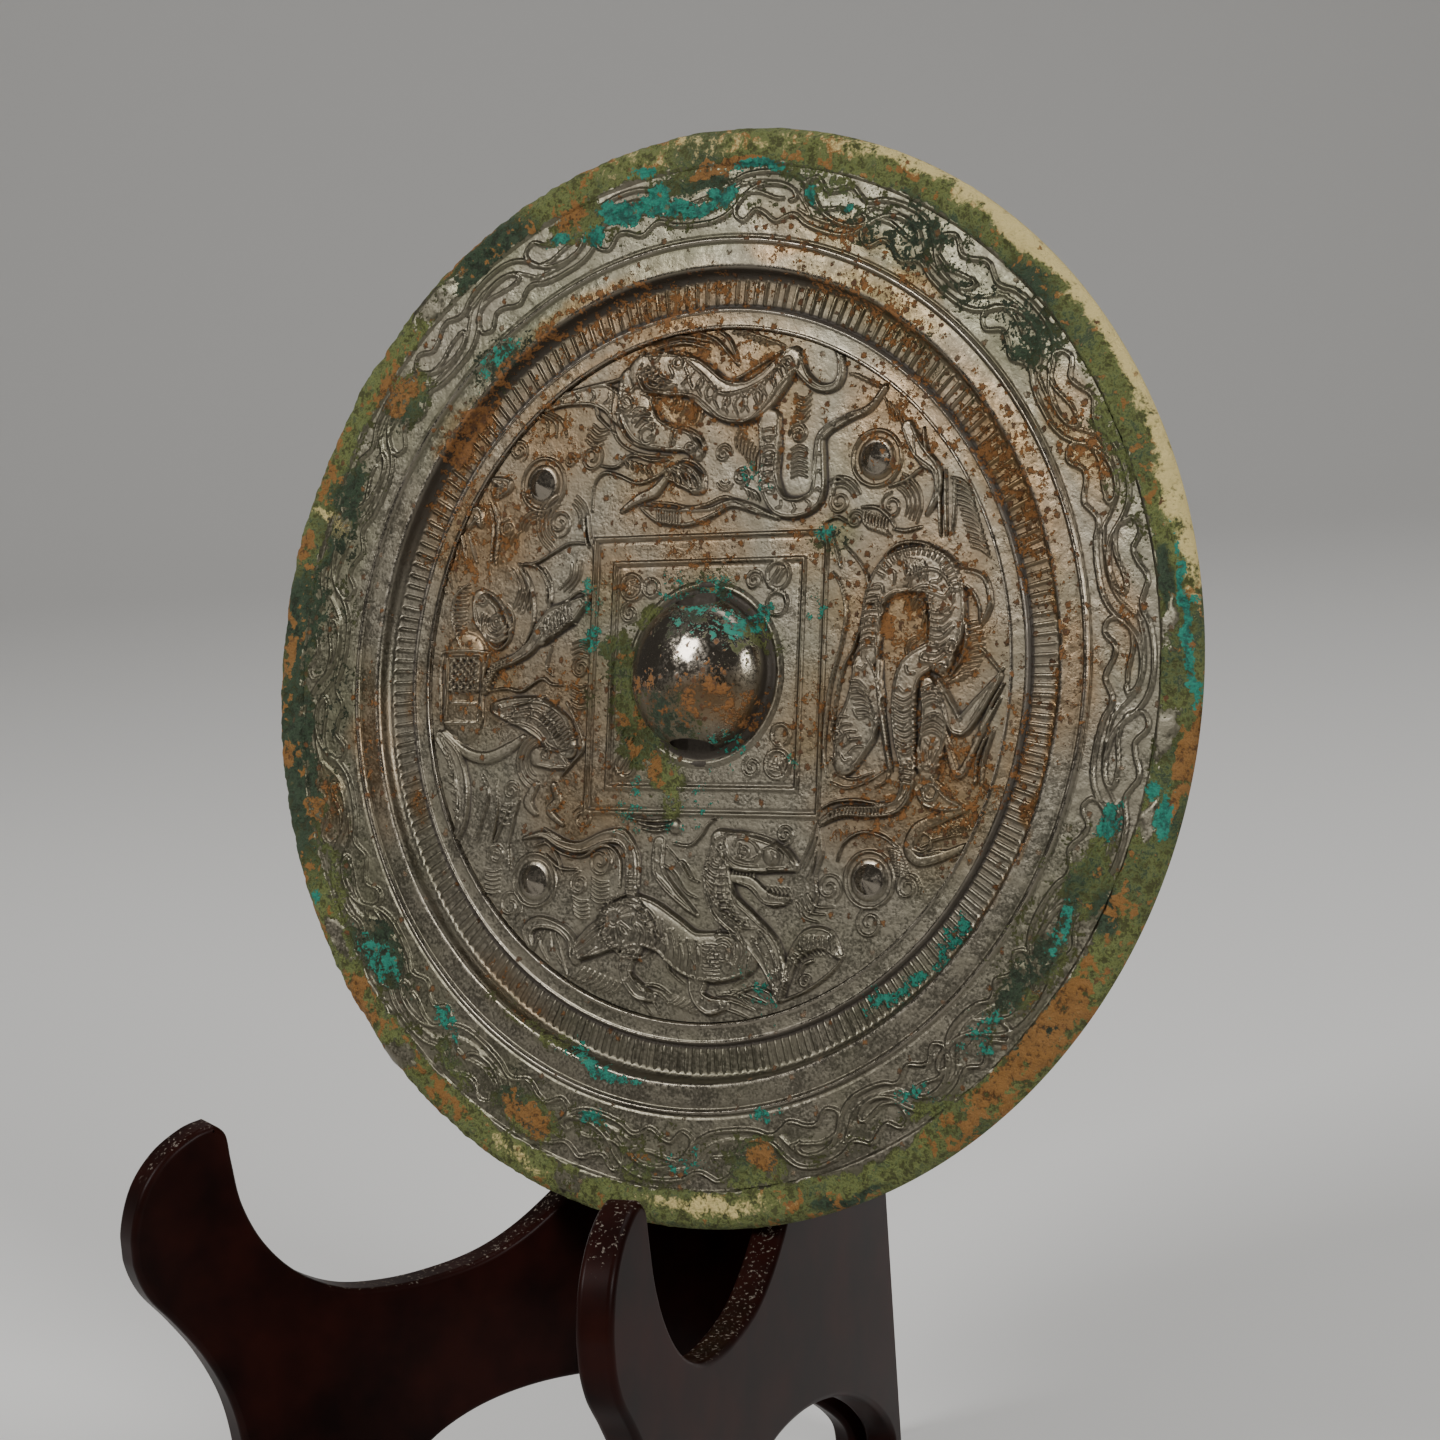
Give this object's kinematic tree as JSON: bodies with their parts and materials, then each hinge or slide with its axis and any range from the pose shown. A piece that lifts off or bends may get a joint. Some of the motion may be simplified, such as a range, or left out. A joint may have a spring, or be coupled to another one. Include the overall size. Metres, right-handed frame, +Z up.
{
  "type": "ornamented bronze mirror on a wooden stand",
  "caption": "Round cast bronze mirror, its figured back forward with a pierced knob, leaning in a V-shaped stand of two lacquered wooden boards.",
  "frame": {"origin": "on the standing surface, under the middle of the whole object's box", "axes": "+Z up, the mirror's figured side looks towards -Y, +X to its right as one looks at it"},
  "size_m": [0.1972, 0.1462, 0.2587],
  "materials": {
    "bronze": "grey silvery tin bronze with green, turquoise and ochre corrosion, satin",
    "lacquered_wood": "very dark red-brown glossy lacquer, dusty on the upper edges"
  },
  "bodies": {
    "root": {"mirror": "bronze", "stand_board_left": "lacquered_wood", "stand_board_right": "lacquered_wood"}
  },
  "joints": []
}
